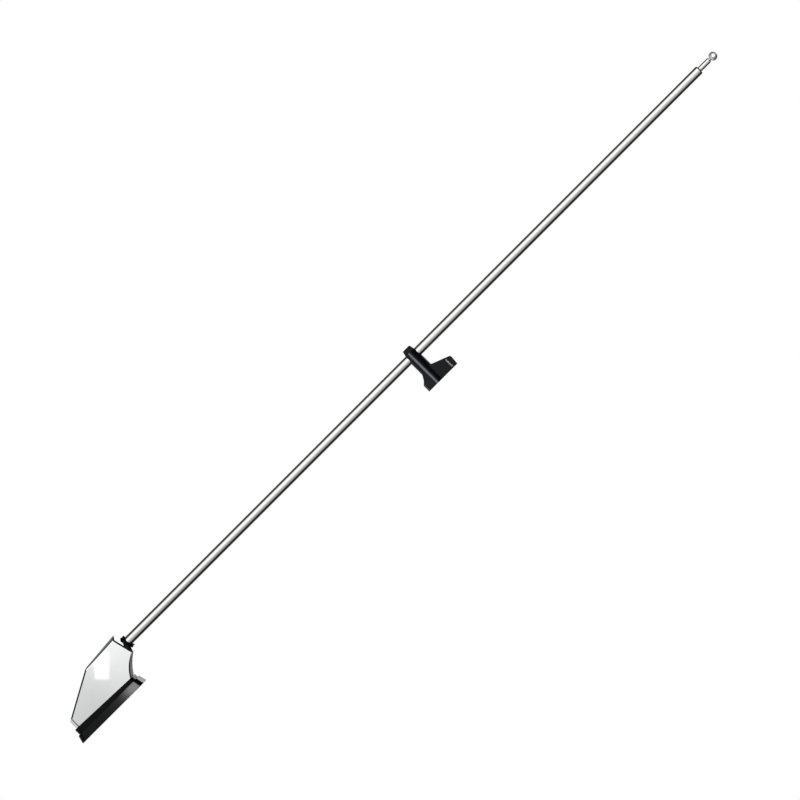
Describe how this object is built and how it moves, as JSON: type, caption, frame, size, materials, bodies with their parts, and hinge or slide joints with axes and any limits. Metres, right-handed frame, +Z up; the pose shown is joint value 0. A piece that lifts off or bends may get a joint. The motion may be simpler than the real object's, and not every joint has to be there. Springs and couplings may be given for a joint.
{
  "type": "side-mount telescopic vehicle aerial",
  "caption": "Straight telescopic aerial mast with a ball tip, carried by a streamlined plated base on a black pad and steadied by a black stand-off bracket.",
  "frame": {"origin": "midpoint between the base's two fixing holes, on the pad's mounting face", "axes": "+Z up the mast, +Y out of the pad's mounting face towards the vehicle's pillar, +X across; x = 0 is the plane of symmetry at rest"},
  "size_m": [0.027, 0.0375, 0.6376],
  "materials": {
    "bright_chrome": "mirror chrome plating on a die casting",
    "mast_metal": "bright drawn tube, chrome plated, fine lengthwise grain",
    "black_moulding": "satin black moulding",
    "gloss_moulding": "glossy black moulding",
    "pad_rubber": "black rubber, smooth skin",
    "plated_steel": "zinc-plated steel",
    "brass": "turned brass",
    "spring_bronze": "sprung bronze sheet",
    "nylon": "dark nylon"
  },
  "bodies": {
    "base": {"base_gasket": "pad_rubber", "base_plate": "black_moulding", "base_cover": "bright_chrome", "base_carrier": "black_moulding", "cable_grommet": "pad_rubber", "cover_screws": "plated_steel", "cover_nuts": "brass", "mast_grommet": "pad_rubber", "mast_socket": "brass", "mast_set_screw": "plated_steel", "signal_terminal": "brass", "terminal_screw": "plated_steel", "earth_terminal": "plated_steel", "mast_tube": "mast_metal", "tube_end_plug": "brass", "tube_guide_bush": "brass"},
    "lower_spring": {"lower_friction_spring": "spring_bronze"},
    "middle_section": {"middle_tube": "mast_metal", "middle_stop": "brass", "middle_guide_bush": "brass"},
    "upper_spring": {"upper_friction_spring": "spring_bronze"},
    "top_section": {"top_rod": "mast_metal", "rod_stop": "brass", "tip_ball": "bright_chrome"},
    "stand_off_slider": {"stand_off_liner": "nylon"},
    "stand_off": {"stand_off_bracket": "gloss_moulding", "foot_sleeve": "plated_steel", "clamp_insert": "brass", "clamp_screw": "plated_steel"}
  },
  "joints": [
    {"name": "middle_slide", "type": "slide", "parent": "base", "child": "lower_spring", "axis": [0, 0, 1], "range_m": [0, 0.545]},
    {"name": "middle_turn", "type": "hinge", "parent": "lower_spring", "child": "middle_section", "pos_m": [0, -0.0277, 0], "axis": [0, 0, 1], "continuous": true},
    {"name": "top_slide", "type": "slide", "parent": "middle_section", "child": "upper_spring", "axis": [0, 0, 1], "range_m": [0, 0.542]},
    {"name": "top_turn", "type": "hinge", "parent": "upper_spring", "child": "top_section", "pos_m": [0, -0.0277, 0], "axis": [0, 0, 1], "continuous": true},
    {"name": "stand_off_slide", "type": "slide", "parent": "base", "child": "stand_off_slider", "axis": [0, 0, 1], "range_m": [-0.255, 0.265]},
    {"name": "stand_off_swivel", "type": "hinge", "parent": "stand_off_slider", "child": "stand_off", "pos_m": [0, -0.0277, 0], "axis": [0, 0, 1], "continuous": true}
  ]
}
